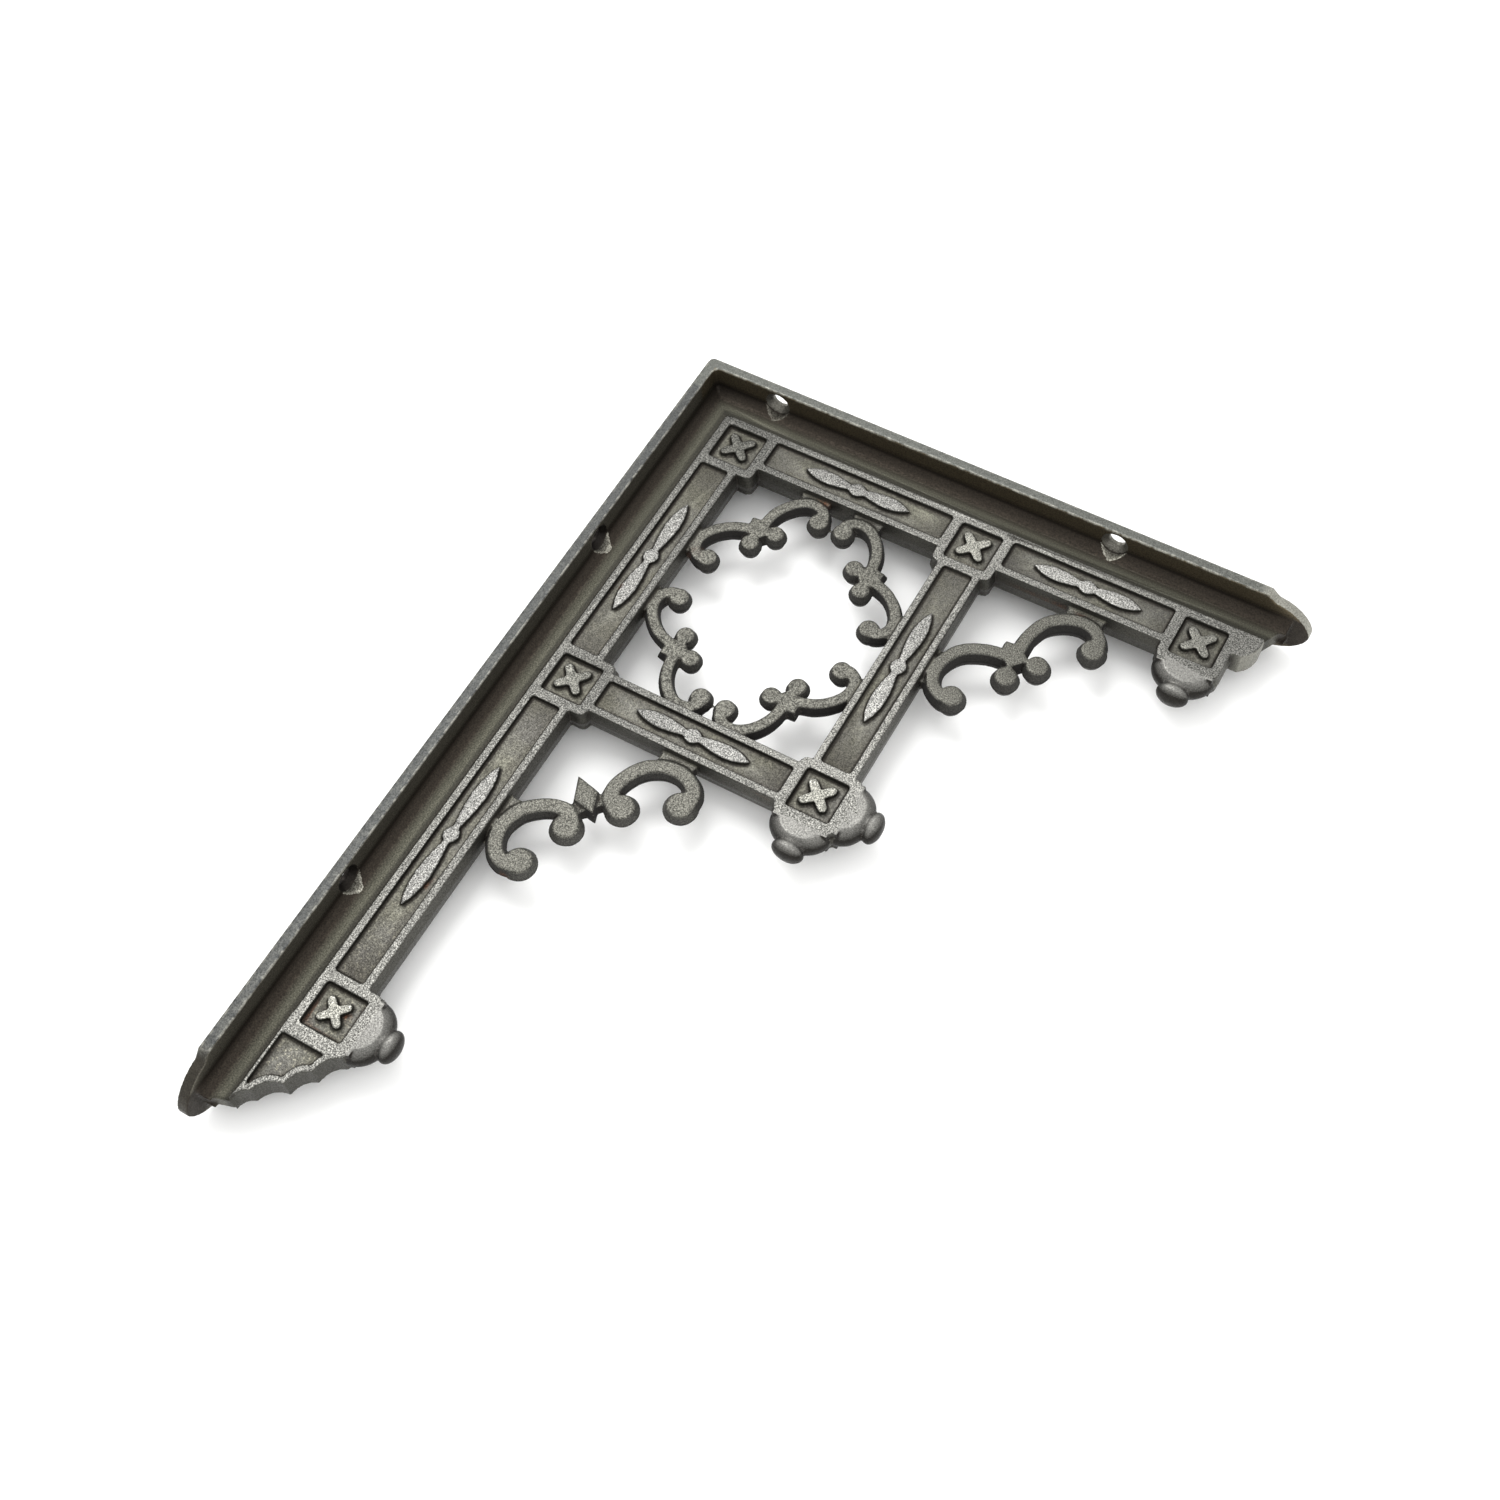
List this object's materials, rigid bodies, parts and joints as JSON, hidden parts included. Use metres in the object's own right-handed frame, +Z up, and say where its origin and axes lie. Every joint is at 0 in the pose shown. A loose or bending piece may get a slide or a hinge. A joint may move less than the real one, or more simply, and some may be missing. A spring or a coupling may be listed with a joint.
{
  "type": "ornate cast iron shelf bracket",
  "caption": "Right-angled cast iron shelf bracket with a pierced web of panelled bars, corner blocks, bud pendants and scrolls between a wall strip and a shelf strip.",
  "frame": {"origin": "on the wall face, on the centre line of the wall strip and half way down it", "axes": "+X out from the wall along the shelf, +Z up, +Y across the web towards its plain side"},
  "size_m": [0.218, 0.027, 0.3],
  "materials": {
    "cast_iron": "bare as-cast iron, satin and grainy"
  },
  "bodies": {
    "root": {"shelf_bracket": "cast_iron"}
  },
  "joints": []
}
